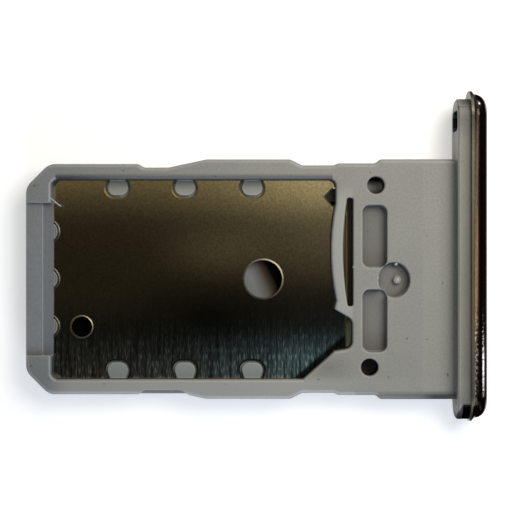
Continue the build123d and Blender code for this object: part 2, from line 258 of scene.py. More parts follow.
def moulded_polycarbonate():
    """Carrier: glass filled polycarbonate from a spark eroded mould, so matte with a fine even grain,
    faint flow clouds and a few dark specks, painted shade in its corners, recesses and lead end and on its
    inner walls, painted highlights on its edges, fillets and thin tabs, and a paler arm and near rail."""
    material, tree, surface = new_material("moulded_polycarbonate")
    place = add(tree, "ShaderNodeTexCoord").outputs["Object"]
    across = add(tree, "ShaderNodeSeparateXYZ", {"Vector": place})
    geometry = add(tree, "ShaderNodeNewGeometry")
    lean = add(tree, "ShaderNodeSeparateXYZ", {"Vector": geometry.outputs["Normal"]})

    # Grey with painted shade that makes it darker and cooler towards the lead end, and painted shade on the
    # flange beside the cap
    share = add(tree, "ShaderNodeMapRange", {
        "Value": across.outputs["X"], "From Min": mm(tone_left), "From Max": mm(tone_right),
    })
    tone = add(tree, "ShaderNodeValToRGB", {"Fac": share.outputs["Result"]}, stops=[
        (0.0, colour("#797D7F")),
        (0.3, colour("#8B8C88")),
        (0.7, colour("#8D8C86")),
        (0.892, colour("#8A8984")),
        (0.896, colour("#8E8D86")),
        (0.972, colour("#8B8A83")),
        (0.982, colour("#78766B")),
        (0.99, colour("#716F65")),
        (0.994, colour("#857F74")),
        (1.0, colour("#8E8A7E")),
    ])

    # Flow clouds, mould grain, soft ovals of painted shade and light, and dark specks
    clouds = add(tree, "ShaderNodeTexNoise", {"Vector": place, "Scale": per_mm(2.6), "Detail": 3.0})
    grain = add(tree, "ShaderNodeTexNoise", {"Vector": place, "Scale": per_mm(0.1), "Detail": 2.0})
    dust = add(tree, "ShaderNodeTexNoise", {"Vector": place, "Scale": per_mm(0.2), "Detail": 0.0})
    cloud_tone = add(tree, "ShaderNodeMapRange", {
        "Value": clouds.outputs["Fac"], "From Min": 0.3, "From Max": 0.7, "To Min": 0.96, "To Max": 1.04,
    })
    grain_tone = add(tree, "ShaderNodeMapRange", {
        "Value": grain.outputs["Fac"], "From Min": 0.3, "From Max": 0.7, "To Min": 0.92, "To Max": 1.07,
    })
    mottle = add(tree, "ShaderNodeMath", {
        0: cloud_tone.outputs["Result"], 1: grain_tone.outputs["Result"],
    }, operation="MULTIPLY")
    mottle_and_shade = mottle.outputs["Value"]
    for middle, size, strength in patches:
        patch = soft_patch(tree, place, middle, size, strength)
        mottle_and_shade = add(tree, "ShaderNodeMath", {0: mottle_and_shade, 1: patch}, operation="MULTIPLY").outputs["Value"]
    grained = add(tree, "ShaderNodeMix", {
        "Factor": 1.0, 6: tone.outputs["Color"], 7: mottle_and_shade,
    }, data_type="RGBA", blend_type="MULTIPLY")
    specks = add(tree, "ShaderNodeMapRange", {
        "Value": dust.outputs["Fac"], "From Min": 0.84, "From Max": 0.87, "To Min": 0.0, "To Max": 0.7,
    })
    specked = add(tree, "ShaderNodeMix", {
        "Factor": specks.outputs["Result"], 6: grained.outputs[2], 7: colour("#3A3834"),
    }, data_type="RGBA")

    # Near rail and spring arm, painted paler
    near_side = add(tree, "ShaderNodeMapRange", {
        "Value": across.outputs["Y"], "From Min": mm(-5.3), "From Max": mm(-5.6),
    })
    along = add(tree, "ShaderNodeValToRGB", {"Fac": share.outputs["Result"]}, stops=[
        (0.065, grey(0)),
        (0.115, grey(0.55)),
        (0.62, grey(0.5)),
        (0.78, grey(0.1)),
    ])
    near_rail = add(tree, "ShaderNodeMath", {
        0: near_side.outputs["Result"], 1: along.outputs["Color"],
    }, operation="MULTIPLY")
    arm_run = add(tree, "ShaderNodeMath", {0: across.outputs["Y"]}, operation="ABSOLUTE")
    arm_fade = add(tree, "ShaderNodeMapRange", {
        "Value": arm_run.outputs["Value"], "From Min": mm(3.2), "From Max": mm(2.4),
        "To Min": 0.0, "To Max": 0.65,
    })
    arm = add(tree, "ShaderNodeMath", {
        0: arm_fade.outputs["Result"], 1: within(tree, across, **arm_top),
    }, operation="MULTIPLY")
    paler_share = add(tree, "ShaderNodeMath", {
        0: near_rail.outputs["Value"], 1: arm.outputs["Value"],
    }, operation="MAXIMUM")
    paled = add(tree, "ShaderNodeMix", {
        "Factor": paler_share.outputs["Value"], 6: specked.outputs[2], 7: colour("#A4A4A0"),
    }, data_type="RGBA")

    # Painted shade in the hollows from ambient occlusion, and painted light on the catch's ledge
    hollow = add(tree, "ShaderNodeAmbientOcclusion", {"Distance": mm(0.9)}, samples=8)
    occlusion_shade = add(tree, "ShaderNodeMapRange", {
        "Value": hollow.outputs["AO"], "From Min": 0.25, "From Max": 1.0, "To Min": 0.8, "To Max": 0.0,
    })
    occlusion_shaded = add(tree, "ShaderNodeMix", {
        "Factor": occlusion_shade.outputs["Result"], 6: paled.outputs[2], 7: colour("#33322F"),
    }, data_type="RGBA")
    ledge_face = add(tree, "ShaderNodeMath", {
        0: within(tree, across, **ledge), 1: lean.outputs["Z"],
    }, operation="MULTIPLY")
    ledge_lit = add(tree, "ShaderNodeMix", {
        "Factor": ledge_face.outputs["Value"], 6: occlusion_shaded.outputs[2], 7: colour("#A8A6A0"),
    }, data_type="RGBA")

    # Painted light on the thin tabs, cool at the near side and warm at the far side, and painted shade on
    # the floors of the recesses
    level = add(tree, "ShaderNodeMapRange", {
        "Value": lean.outputs["Z"], "From Min": 0.8, "From Max": 0.95, "To Min": 0.0, "To Max": 0.55,
    })
    tabs = add(tree, "ShaderNodeMath", {
        0: level.outputs["Result"], 1: within(tree, across, **tab_tops),
    }, operation="MULTIPLY")
    far_tabs = add(tree, "ShaderNodeMapRange", {
        "Value": across.outputs["Y"], "From Min": mm(-3), "From Max": mm(1),
    })
    tab_light = add(tree, "ShaderNodeMix", {
        "Factor": far_tabs.outputs["Result"], 6: colour("#9FA9AC"), 7: colour("#A9A9A0"),
    }, data_type="RGBA")
    tabs_lit = add(tree, "ShaderNodeMix", {
        "Factor": tabs.outputs["Value"], 6: ledge_lit.outputs[2], 7: tab_light.outputs[2],
    }, data_type="RGBA")
    recesses = add(tree, "ShaderNodeMath", {
        0: level.outputs["Result"], 1: within(tree, across, **recess_floors),
    }, operation="MULTIPLY")
    sunk = add(tree, "ShaderNodeMix", {
        "Factor": recesses.outputs["Value"], 6: tabs_lit.outputs[2], 7: colour("#5F5F5D"),
    }, data_type="RGBA")

    # Gate mark with its crescent of painted shadow and a dark ring round its nub
    off_gate = add(tree, "ShaderNodeVectorMath", {0: place, 1: mm(gate_disc)}, operation="DISTANCE")
    gate_shade = add(tree, "ShaderNodeMapRange", {
        "Value": off_gate.outputs["Value"], "From Min": mm(0.58), "From Max": mm(0.76),
        "To Min": 0.0, "To Max": 0.7,
    })
    off_nub = add(tree, "ShaderNodeVectorMath", {0: place, 1: mm(gate_nub)}, operation="DISTANCE")
    nub_ring = add(tree, "ShaderNodeMapRange", {
        "Value": off_nub.outputs["Value"], "From Min": mm(0.26), "From Max": mm(0.14),
        "To Min": 0.0, "To Max": 0.6,
    })
    gate_dark = add(tree, "ShaderNodeMath", {
        0: gate_shade.outputs["Result"], 1: nub_ring.outputs["Result"],
    }, operation="MAXIMUM")
    gate = add(tree, "ShaderNodeMath", {
        0: gate_dark.outputs["Value"],
        1: within(tree, across, **gate_floor),
    }, operation="MULTIPLY")
    dished = add(tree, "ShaderNodeMix", {
        "Factor": gate.outputs["Value"], 6: sunk.outputs[2], 7: colour("#33332F"),
    }, data_type="RGBA")

    # Painted shade on the inner walls, in the eject opening and the plate's relief, and along the pocket's
    # far lip
    steep = add(tree, "ShaderNodeMapRange", {"Value": lean.outputs["Z"], "From Min": 0.45, "From Max": 0.15})
    deep = add(tree, "ShaderNodeMapRange", {
        "Value": across.outputs["Z"], "From Min": mm(1.42), "From Max": mm(1.28),
        "To Min": 0.0, "To Max": 0.88,
    })
    sheer = add(tree, "ShaderNodeMath", {
        0: steep.outputs["Result"], 1: deep.outputs["Result"],
    }, operation="MULTIPLY")
    inner = add(tree, "ShaderNodeMath", {
        0: sheer.outputs["Value"], 1: within(tree, across, **pocket_and_deck),
    }, operation="MULTIPLY")
    pockets = add(tree, "ShaderNodeMath", {
        0: within(tree, across, **eject_opening),
        1: within(tree, across, **plate_relief),
    }, operation="MAXIMUM")
    walls = add(tree, "ShaderNodeMath", {
        0: inner.outputs["Value"], 1: pockets.outputs["Value"],
    }, operation="MAXIMUM")
    lip_depth = add(tree, "ShaderNodeMapRange", {
        "Value": across.outputs["Y"], "From Min": mm(3.68), "From Max": mm(3.5),
    })
    far_lip = add(tree, "ShaderNodeMath", {
        0: lip_depth.outputs["Result"], 1: within(tree, across, **pocket_far_lip),
    }, operation="MULTIPLY")
    lip_run = add(tree, "ShaderNodeMapRange", {
        "Value": across.outputs["X"], "From Min": mm(-8.3), "From Max": mm(-6.2),
        "To Min": 0.97, "To Max": 0.62,
    })
    dark_lip = add(tree, "ShaderNodeMath", {
        0: far_lip.outputs["Value"], 1: lip_run.outputs["Result"],
    }, operation="MULTIPLY")
    shaded = add(tree, "ShaderNodeMath", {
        0: walls.outputs["Value"], 1: dark_lip.outputs["Value"],
    }, operation="MAXIMUM")
    walls_shaded = add(tree, "ShaderNodeMix", {
        "Factor": shaded.outputs["Value"], 6: dished.outputs[2], 7: colour("#1C1B18"),
    }, data_type="RGBA")

    # Painted cool shade on the lead ramp, and painted highlights on upturned fillets and edges, apart from
    # the far lip
    ramp_face = add(tree, "ShaderNodeMath", {
        0: lean.outputs["X"], 1: within(tree, across, **lead_ramp),
    }, operation="MULTIPLY")
    ramp_shade = add(tree, "ShaderNodeMapRange", {
        "Value": ramp_face.outputs["Value"], "From Min": 0.5, "From Max": 0.7, "To Min": 0.0, "To Max": 0.52,
    })
    sloped = add(tree, "ShaderNodeMix", {
        "Factor": ramp_shade.outputs["Result"], 6: walls_shaded.outputs[2], 7: colour("#4A535B"),
    }, data_type="RGBA")
    curl = add(tree, "ShaderNodeValToRGB", {"Fac": lean.outputs["Z"]}, stops=[
        (0.69, grey(0)),
        (0.8, grey(0.3)),
        (0.95, grey(0.3)),
        (0.995, grey(0)),
    ])
    off_lip = add(tree, "ShaderNodeMapRange", {
        "Value": far_lip.outputs["Value"], "To Min": 1.0, "To Max": 0.0,
    })
    shine = add(tree, "ShaderNodeMath", {
        0: curl.outputs["Color"], 1: off_lip.outputs["Result"],
    }, operation="MULTIPLY")
    fillets_lit = add(tree, "ShaderNodeMix", {
        "Factor": shine.outputs["Value"], 6: sloped.outputs[2], 7: colour("#BDBDB7"),
    }, data_type="RGBA")
    rounded = add(tree, "ShaderNodeBevel", {"Radius": mm(0.06)}, samples=6)
    turn = add(tree, "ShaderNodeVectorMath", {
        0: rounded.outputs["Normal"], 1: geometry.outputs["Normal"],
    }, operation="DOT_PRODUCT")
    edge = add(tree, "ShaderNodeMapRange", {
        "Value": turn.outputs["Value"], "From Min": 0.995, "From Max": 0.88, "To Min": 0.0, "To Max": 0.6,
    })
    edge_light = add(tree, "ShaderNodeMath", {
        0: edge.outputs["Result"], 1: off_lip.outputs["Result"],
    }, operation="MULTIPLY")
    edges_lit = add(tree, "ShaderNodeMix", {
        "Factor": edge_light.outputs["Value"], 6: fillets_lit.outputs[2], 7: colour("#CFCFC9"),
    }, data_type="RGBA")

    # Painted shade along the deck's near edge, and the flange's far tip darkened
    brink = add(tree, "ShaderNodeMapRange", {
        "Value": across.outputs["Y"], "From Min": mm(-5.96), "From Max": mm(-6.22),
    })
    brink_run = add(tree, "ShaderNodeValToRGB", {"Fac": share.outputs["Result"]}, stops=[
        (0.75, grey(0.4)),
        (0.89, grey(0.62)),
        (0.92, grey(0.97)),
    ])
    near_brink = add(tree, "ShaderNodeMath", {
        0: brink.outputs["Result"], 1: brink_run.outputs["Color"],
    }, operation="MULTIPLY")
    brink_shade = add(tree, "ShaderNodeMath", {
        0: near_brink.outputs["Value"], 1: within(tree, across, **deck_near_edge),
    }, operation="MULTIPLY")
    shade_painted = add(tree, "ShaderNodeMix", {
        "Factor": brink_shade.outputs["Value"], 6: edges_lit.outputs[2], 7: colour("#1E1814"),
    }, data_type="RGBA")
    tipped = add(tree, "ShaderNodeMix", {
        "Factor": 1.0, 6: shade_painted.outputs[2], 7: soft_patch(tree, place, *flange_tip),
    }, data_type="RGBA", blend_type="MULTIPLY")

    # Dark overspray at the flange's near end
    near_end = add(tree, "ShaderNodeMapRange", {
        "Value": across.outputs["Y"], "From Min": mm(-6.45), "From Max": mm(-6.55),
    })
    slant = add(tree, "ShaderNodeMath", {
        0: across.outputs["X"], 1: spray_slope, 2: across.outputs["Y"],
    }, operation="MULTIPLY_ADD")
    behind = add(tree, "ShaderNodeMapRange", {
        "Value": slant.outputs["Value"], "From Min": mm(spray_start), "From Max": mm(spray_full),
    })
    overspray = add(tree, "ShaderNodeMath", {
        0: near_end.outputs["Result"], 1: behind.outputs["Result"],
    }, operation="MULTIPLY")
    coated = add(tree, "ShaderNodeMix", {
        "Factor": overspray.outputs["Value"], 6: tipped.outputs[2], 7: colour("#15110E"),
    }, data_type="RGBA")

    bump = add(tree, "ShaderNodeBump", {
        "Strength": 0.5, "Distance": mm(0.01), "Height": grain.outputs["Fac"],
        "Normal": rounded.outputs["Normal"],
    })
    shader = add(tree, "ShaderNodeBsdfPrincipled", {
        "Base Color": coated.outputs[2], "Roughness": 0.5, "IOR": 1.58, "Normal": bump.outputs["Normal"],
    })
    tree.links.new(shader.outputs["BSDF"], surface)
    return material


def rolled_stainless():
    """Floor plate: cold rolled stainless sheet, so a soft mirror with fine bright streaks along the rolling
    direction at the near side, a fine pitted grain, a painted shadow beside the keyed corner and painted
    highlights on its punched edges. Its holes and end notches are punched from below, so their rims are
    raised burrs and catch the light from the other side."""
    material, tree, surface = new_material("rolled_stainless")
    place = add(tree, "ShaderNodeTexCoord").outputs["Object"]
    across = add(tree, "ShaderNodeSeparateXYZ", {"Vector": place})

    # Rolling streaks at the near side, drawn coarser than real ones, which are finer than a pixel, and pits
    rolled = add(tree, "ShaderNodeMapping", {"Vector": place, "Scale": (1.0, 0.16, 1.0)})
    streaks = add(tree, "ShaderNodeTexNoise", {
        "Vector": rolled.outputs["Vector"], "Scale": per_mm(0.05), "Detail": 0.5,
    })
    pits = add(tree, "ShaderNodeTexNoise", {"Vector": place, "Scale": per_mm(0.09), "Detail": 1.0})
    near = add(tree, "ShaderNodeMapRange", {
        "Value": across.outputs["Y"], "From Min": mm(-2.0), "From Max": mm(-4.5),
    })
    dashes = add(tree, "ShaderNodeMapRange", {
        "Value": streaks.outputs["Fac"], "From Min": 0.52, "From Max": 0.7, "To Min": 0.5, "To Max": 1.5,
    })
    drawn = add(tree, "ShaderNodeMapping", {"Vector": place, "Scale": (1.0, 0.06, 1.0)})
    draws = add(tree, "ShaderNodeTexNoise", {
        "Vector": drawn.outputs["Vector"], "Scale": per_mm(0.09), "Detail": 1.0,
    })
    broad = add(tree, "ShaderNodeMapRange", {
        "Value": draws.outputs["Fac"], "From Min": 0.35, "From Max": 0.65, "To Min": 0.45, "To Max": 1.6,
    })
    coarse = add(tree, "ShaderNodeMath", {
        0: dashes.outputs["Result"], 1: broad.outputs["Result"],
    }, operation="MULTIPLY")
    fine = add(tree, "ShaderNodeMapRange", {
        "Value": pits.outputs["Fac"], "From Min": 0.3, "From Max": 0.7, "To Min": 0.8, "To Max": 1.12,
    })
    finish = add(tree, "ShaderNodeMix", {
        "Factor": near.outputs["Result"], 2: fine.outputs["Result"], 3: coarse.outputs["Value"],
    }, data_type="FLOAT")
    steel = add(tree, "ShaderNodeMix", {
        "Factor": 1.0, 6: colour("#C6C2B8"), 7: finish.outputs[0],
    }, data_type="RGBA", blend_type="MULTIPLY")

    # Shadow beside the keyed corner
    key_side = add(tree, "ShaderNodeMath", {
        0: across.outputs["X"], 1: key_slope, 2: across.outputs["Y"],
    }, operation="MULTIPLY_ADD")
    under_key = add(tree, "ShaderNodeMapRange", {
        "Value": key_side.outputs["Value"], "From Min": mm(key_lit), "From Max": mm(key_dark),
        "To Min": 0.0, "To Max": 0.92,
    })
    shade_painted = add(tree, "ShaderNodeMix", {
        "Factor": under_key.outputs["Result"], 6: steel.outputs[2], 7: colour("#141310"),
    }, data_type="RGBA")

    # Punched edges, with painted highlights that are brighter at the far side and duller beside the lead
    # ramp
    normal = add(tree, "ShaderNodeNewGeometry").outputs["True Normal"]
    upright = add(tree, "ShaderNodeSeparateXYZ", {"Vector": normal}).outputs["Z"]
    edge = add(tree, "ShaderNodeMapRange", {"Value": upright, "From Min": 0.98, "From Max": 0.9})
    depth = add(tree, "ShaderNodeMapRange", {
        "Value": across.outputs["Y"], "From Min": mm(-6), "From Max": mm(4),
    })
    lit_cut_tone = add(tree, "ShaderNodeValToRGB", {"Fac": depth.outputs["Result"]}, stops=[
        (0.1, colour("#5C5A52")),
        (0.3, colour("#A89F89")),
        (0.78, colour("#A89F89")),
        (0.8, colour("#FFE8B0")),
    ])
    inward = add(tree, "ShaderNodeMapRange", {
        "Value": across.outputs["X"], "From Min": mm(-8.9), "From Max": mm(-8.35),
        "To Min": 0.3, "To Max": 1.0,
    })
    rim = add(tree, "ShaderNodeMix", {
        "Factor": inward.outputs["Result"], 6: colour("#5C5A52"), 7: lit_cut_tone.outputs["Color"],
    }, data_type="RGBA")
    punched = add(tree, "ShaderNodeMix", {
        "Factor": edge.outputs["Result"], 6: shade_painted.outputs[2], 7: rim.outputs[2],
    }, data_type="RGBA")
    roughness = add(tree, "ShaderNodeMapRange", {
        "Value": edge.outputs["Result"], "To Min": 0.08, "To Max": 0.42,
    })

    # Burrs: the slope of each rim is turned over where the plate is punched from below
    centred = add(tree, "ShaderNodeMath", {
        0: across.outputs["Y"], 1: mm(burr_middle),
    }, operation="SUBTRACT")
    reach = add(tree, "ShaderNodeMath", {0: centred.outputs["Value"]}, operation="ABSOLUTE")
    burr = add(tree, "ShaderNodeMapRange", {
        "Value": reach.outputs["Value"], "From Min": mm(burr_half), "From Max": mm(burr_half + 0.05),
        "To Min": -1.0, "To Max": 1.0,
    })
    turn = add(tree, "ShaderNodeCombineXYZ", {
        "X": burr.outputs["Result"], "Y": burr.outputs["Result"], "Z": 1.0,
    })
    lip = add(tree, "ShaderNodeVectorMath", {0: normal, 1: turn.outputs["Vector"]}, operation="MULTIPLY")
    bump = add(tree, "ShaderNodeBump", {
        "Strength": 0.3, "Distance": mm(0.002), "Height": streaks.outputs["Fac"],
        "Normal": lip.outputs["Vector"],
    })
    shader = add(tree, "ShaderNodeBsdfPrincipled", {
        "Base Color": punched.outputs[2], "Metallic": 1.0, "Roughness": roughness.outputs["Result"],
        "Normal": bump.outputs["Normal"],
    })
    tree.links.new(shader.outputs["BSDF"], surface)
    return material


def coated_aluminium():
    """End cap: aluminium with a gloss black coat on its rounded front, a bright cut bronze chamfer that
    is worn and speckled at the near end and browner at the far end, and a satin side behind it, with
    painted shade towards the ends and painted highlights at the satin's tips."""
    material, tree, surface = new_material("coated_aluminium")
    place = add(tree, "ShaderNodeTexCoord").outputs["Object"]
    across = add(tree, "ShaderNodeSeparateXYZ", {"Vector": place})
    wear = add(tree, "ShaderNodeTexNoise", {"Vector": place, "Scale": per_mm(0.13), "Detail": 3.0})

    # Masks of the bronze chamfer, the black front, the heel and the near end, but for one bare scratch
    ragged = add(tree, "ShaderNodeMath", {
        0: wear.outputs["Fac"], 1: mm(0.06), 2: across.outputs["X"],
    }, operation="MULTIPLY_ADD")
    bronze_edge = mm(cap_front - bronze_start + 0.03)
    black_edge = mm(cap_front - black_start + 0.03)
    bronze = add(tree, "ShaderNodeMapRange", {
        "Value": ragged.outputs["Value"],
        "From Min": bronze_edge - mm(0.015), "From Max": bronze_edge + mm(0.015),
    })
    front = add(tree, "ShaderNodeMapRange", {
        "Value": ragged.outputs["Value"],
        "From Min": black_edge - mm(0.06), "From Max": black_edge + mm(0.03),
    })
    heel = add(tree, "ShaderNodeMapRange", {
        "Value": across.outputs["X"], "From Min": mm(heel_front), "From Max": mm(heel_front - 0.02),
    })
    ends = add(tree, "ShaderNodeMath", {
        0: front.outputs["Result"], 1: heel.outputs["Result"],
    }, operation="MAXIMUM")
    near = add(tree, "ShaderNodeMapRange", {
        "Value": across.outputs["Y"], "From Min": mm(-6.3), "From Max": mm(-6.6),
    })
    scratch = add(tree, "ShaderNodeMath", {
        0: near.outputs["Result"], 1: within(tree, across, **cap_scratch),
    }, operation="SUBTRACT")
    black = add(tree, "ShaderNodeMath", {
        0: ends.outputs["Value"], 1: scratch.outputs["Value"],
    }, operation="MAXIMUM")

    # Bronze across the chamfer, painted shade along it towards both ends, and flecks where it is chipped
    cut = add(tree, "ShaderNodeMapRange", {
        "Value": across.outputs["X"],
        "From Min": mm(cap_front - bronze_start), "From Max": mm(cap_front - black_start),
    })
    bright_cut = add(tree, "ShaderNodeValToRGB", {"Fac": cut.outputs["Result"]}, stops=[
        (0.0, colour("#E0C8AE")),
        (0.4, colour("#CDA27A")),
        (0.75, colour("#74502F")),
        (1.0, colour("#3E2612")),
    ])
    brown_cut = add(tree, "ShaderNodeValToRGB", {"Fac": cut.outputs["Result"]}, stops=[
        (0.0, colour("#D8CBB8")),
        (0.35, colour("#C8B49C")),
        (0.6, colour("#543C2A")),
        (1.0, colour("#2E190D")),
    ])
    far_half = add(tree, "ShaderNodeMapRange", {
        "Value": across.outputs["Y"], "From Min": mm(0.5), "From Max": mm(2.5),
    })
    turned = add(tree, "ShaderNodeMix", {
        "Factor": far_half.outputs["Result"], 6: bright_cut.outputs["Color"], 7: brown_cut.outputs["Color"],
    }, data_type="RGBA")
    run = add(tree, "ShaderNodeMapRange", {
        "Value": across.outputs["Y"], "From Min": mm(-cap_half), "From Max": mm(cap_half),
    })
    end_shade = add(tree, "ShaderNodeValToRGB", {"Fac": run.outputs["Result"]}, stops=[
        (0.06, grey(0.3)),
        (0.14, grey(0.36)),
        (0.22, grey(0.82)),
        (0.42, grey(1.0)),
        (0.83, grey(1.0)),
        (0.95, grey(0.2)),
    ])
    lit_cut_tone = add(tree, "ShaderNodeMix", {
        "Factor": 1.0, 6: turned.outputs[2], 7: end_shade.outputs["Color"],
    }, data_type="RGBA", blend_type="MULTIPLY")
    chipped = add(tree, "ShaderNodeMapRange", {
        "Value": across.outputs["Y"], "From Min": mm(-2.0), "From Max": mm(-3.5),
        "To Min": 0.1, "To Max": 1.0,
    })
    flecks = add(tree, "ShaderNodeValToRGB", {"Fac": wear.outputs["Fac"]}, stops=[
        (0.35, colour("#202428")),
        (0.52, colour("#6A6A6A")),
        (0.6, colour("#FFFFFF")),
    ])
    worn_bronze = add(tree, "ShaderNodeMix", {
        "Factor": chipped.outputs["Result"], 6: lit_cut_tone.outputs[2], 7: flecks.outputs["Color"],
    }, data_type="RGBA", blend_type="OVERLAY")
    rich = add(tree, "ShaderNodeMapRange", {
        "Value": across.outputs["Y"], "From Min": mm(-4.6), "From Max": mm(-2.2),
        "To Min": 0.5, "To Max": 1.0,
    })
    faded = add(tree, "ShaderNodeHueSaturation", {
        "Saturation": rich.outputs["Result"], "Color": worn_bronze.outputs[2],
    })

    # Satin side behind the chamfer, with painted highlights at both tips and painted shade towards the far
    # end
    lit_satin = add(tree, "ShaderNodeValToRGB", {"Fac": run.outputs["Result"]}, stops=[
        (0.03, colour("#E4DCCB")),
        (0.06, colour("#7C786D")),
        (0.25, colour("#7C786D")),
        (0.5, colour("#686459")),
        (0.82, colour("#5C584F")),
        (0.95, colour("#35332E")),
        (0.98, colour("#6E6A60")),
    ])
    side = add(tree, "ShaderNodeMix", {
        "Factor": bronze.outputs["Result"], 6: lit_satin.outputs["Color"], 7: faded.outputs["Color"],
    }, data_type="RGBA")
    coat = add(tree, "ShaderNodeMix", {
        "Factor": black.outputs["Value"], 6: side.outputs[2], 7: colour("#080403"),
    }, data_type="RGBA")
    bare = add(tree, "ShaderNodeMapRange", {"Value": black.outputs["Value"], "To Min": 1.0, "To Max": 0.0})
    roughness = add(tree, "ShaderNodeMapRange", {
        "Value": black.outputs["Value"], "To Min": 0.4, "To Max": 0.08,
    })
    bump = add(tree, "ShaderNodeBump", {
        "Strength": 0.5, "Distance": mm(0.009), "Height": wear.outputs["Fac"],
    })
    shader = add(tree, "ShaderNodeBsdfPrincipled", {
        "Base Color": coat.outputs[2], "Metallic": bare.outputs["Result"],
        "Roughness": roughness.outputs["Result"], "Normal": bump.outputs["Normal"],
    })
    tree.links.new(shader.outputs["BSDF"], surface)
    return material


def dress(node_name, material):
    """Gives a CAD node its material."""
    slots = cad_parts[node_name].data.materials
    slots.clear()
    slots.append(material)


def keep(name, shape, material):
    """Object made from a bmesh, at the origin, with its material."""
    bmesh.ops.recalc_face_normals(shape, faces=shape.faces)
    mesh = bpy.data.meshes.new(name)
    shape.to_mesh(mesh)
    shape.free()
    mesh.materials.append(material)
    made = bpy.data.objects.new(name, mesh)
    bpy.context.scene.collection.objects.link(made)
    return made


def pale_crumb_plastic():
    """Torn carrier plastic, which is stress whitened and rough."""
    material, tree, surface = new_material("whitened_polycarbonate")
    place = add(tree, "ShaderNodeTexCoord").outputs["Object"]
    fibres = add(tree, "ShaderNodeTexNoise", {"Vector": place, "Scale": per_mm(0.05), "Detail": 2.0})
    tone = add(tree, "ShaderNodeMix", {
        "Factor": fibres.outputs["Fac"], 6: colour("#8F8F8A"), 7: colour("#C8C8C3"),
    }, data_type="RGBA")
    bump = add(tree, "ShaderNodeBump", {
        "Strength": 0.5, "Distance": mm(0.01), "Height": fibres.outputs["Fac"],
    })
    shader = add(tree, "ShaderNodeBsdfPrincipled", {
        "Base Color": tone.outputs[2], "Roughness": 0.6, "Normal": bump.outputs["Normal"],
    })
    tree.links.new(shader.outputs["BSDF"], surface)
    return material


def make_flash_whisker(material):
    """Sliver of moulding flash that hangs into the pocket from the saddle's corner."""
    start = Vector((-9.22, 2.68, 1.50))
    finish = Vector((-8.70, 2.22, 1.2))
    steps = 6
    sides = 6
    thickness = 0.032
    sag = 0.02 * Vector((-0.6, -0.8, 0))
    run = finish - start
    turn = run.to_track_quat("Z", "Y").to_matrix().to_4x4()
    shape = bmesh.new()
    bmesh.ops.create_circle(shape, cap_ends=True, segments=sides, radius=mm(thickness) / 3,
                            matrix=Matrix.Translation(mm(start)) @ turn)
    edges = list(shape.edges)
    for step in range(1, steps + 1):
        share = step / steps
        grown = bmesh.ops.extrude_edge_only(shape, edges=edges)["geom"]
        rim = [item for item in grown if isinstance(item, bmesh.types.BMVert)]
        edges = [item for item in grown if isinstance(item, bmesh.types.BMEdge)
                 and all(corner in rim for corner in item.verts)]
        middle = sum((corner.co for corner in rim), Vector()) / len(rim)
        place = mm(start + run * share + sag * math.sin(math.pi * share))
        girth = mm(thickness) * (0.45 + 0.55 * math.sin(math.pi * share * 0.75))
        reach = (rim[0].co - middle).length
        bmesh.ops.scale(shape, verts=rim, vec=(girth / reach,) * 3, space=Matrix.Translation(-middle))
        bmesh.ops.translate(shape, verts=rim, vec=place - middle)
    bmesh.ops.holes_fill(shape, edges=edges, sides=sides)
    whisker = keep("flash_whisker", shape, material)
    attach(whisker, "root")
    return whisker


def make_crumbs(material):
    """Torn crumbs of plastic on the rims of the gate and the slot, and on the gate's nub."""
    crumbs = [
        ("gate_crumb_far", (6.22, -0.36, 1.43), (0.10, 0.07, 0.06), 25),
        ("gate_crumb_near", (5.40, -0.97, 1.46), (0.06, 0.09, 0.05), -10),
        ("slot_crumb", (4.33, -0.50, 1.44), (0.05, 0.07, 0.05), 15),
        ("gate_tip", (*gate_nub[:2], 1.39), (0.10, 0.09, 0.04), 10),
    ]
    edge_break = 0.18
    made = []
    for name, place, size, turn in crumbs:
        shape = bmesh.new()
        bmesh.ops.create_icosphere(shape, subdivisions=1, radius=1.0)
        bmesh.ops.bevel(shape, geom=shape.edges[:], offset=edge_break, affect="EDGES", segments=1,
                        profile=0.5, material=-1)
        bmesh.ops.scale(shape, verts=shape.verts, vec=mm(size))
        bmesh.ops.rotate(shape, verts=shape.verts, matrix=Matrix.Rotation(math.radians(turn), 3, "Z"))
        bmesh.ops.translate(shape, verts=shape.verts, vec=mm(place))
        crumb = keep(name, shape, material)
        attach(crumb, "root")
        made.append(crumb)
    return made


def stage_plane(name, middle, length, width, tilt=0, axis="Y"):
    """Stage plane that faces up, then is tilted about an axis and put in its place."""
    shape = bmesh.new()
    bmesh.ops.create_grid(shape, x_segments=1, y_segments=1, size=0.5)
    bmesh.ops.scale(shape, verts=shape.verts, vec=mm((length, width, 1)))
    bmesh.ops.rotate(shape, verts=shape.verts, matrix=Matrix.Rotation(math.radians(tilt), 3, axis))
    bmesh.ops.translate(shape, verts=shape.verts, vec=mm(middle))
    mesh = bpy.data.meshes.new(name)
    shape.to_mesh(mesh)
    shape.free()
    plane = bpy.data.objects.new(name, mesh)
    bpy.context.scene.collection.objects.link(plane)
    return plane


def make_floor():
    """Plain pale table, which glows a little so that it is as white as the photo's ground."""
    floor = stage_plane("floor", (0, 0, 0), floor_size, floor_size)
    material, tree, surface = new_material("pale_table")
    shader = add(tree, "ShaderNodeBsdfPrincipled", {
        "Base Color": colour("#F4F4F4"), "Roughness": 0.8, "Emission Color": colour("#FFFFFF"),
        "Emission Strength": floor_glow,
    })
    tree.links.new(shader.outputs["BSDF"], surface)
    floor.data.materials.append(material)
    return floor


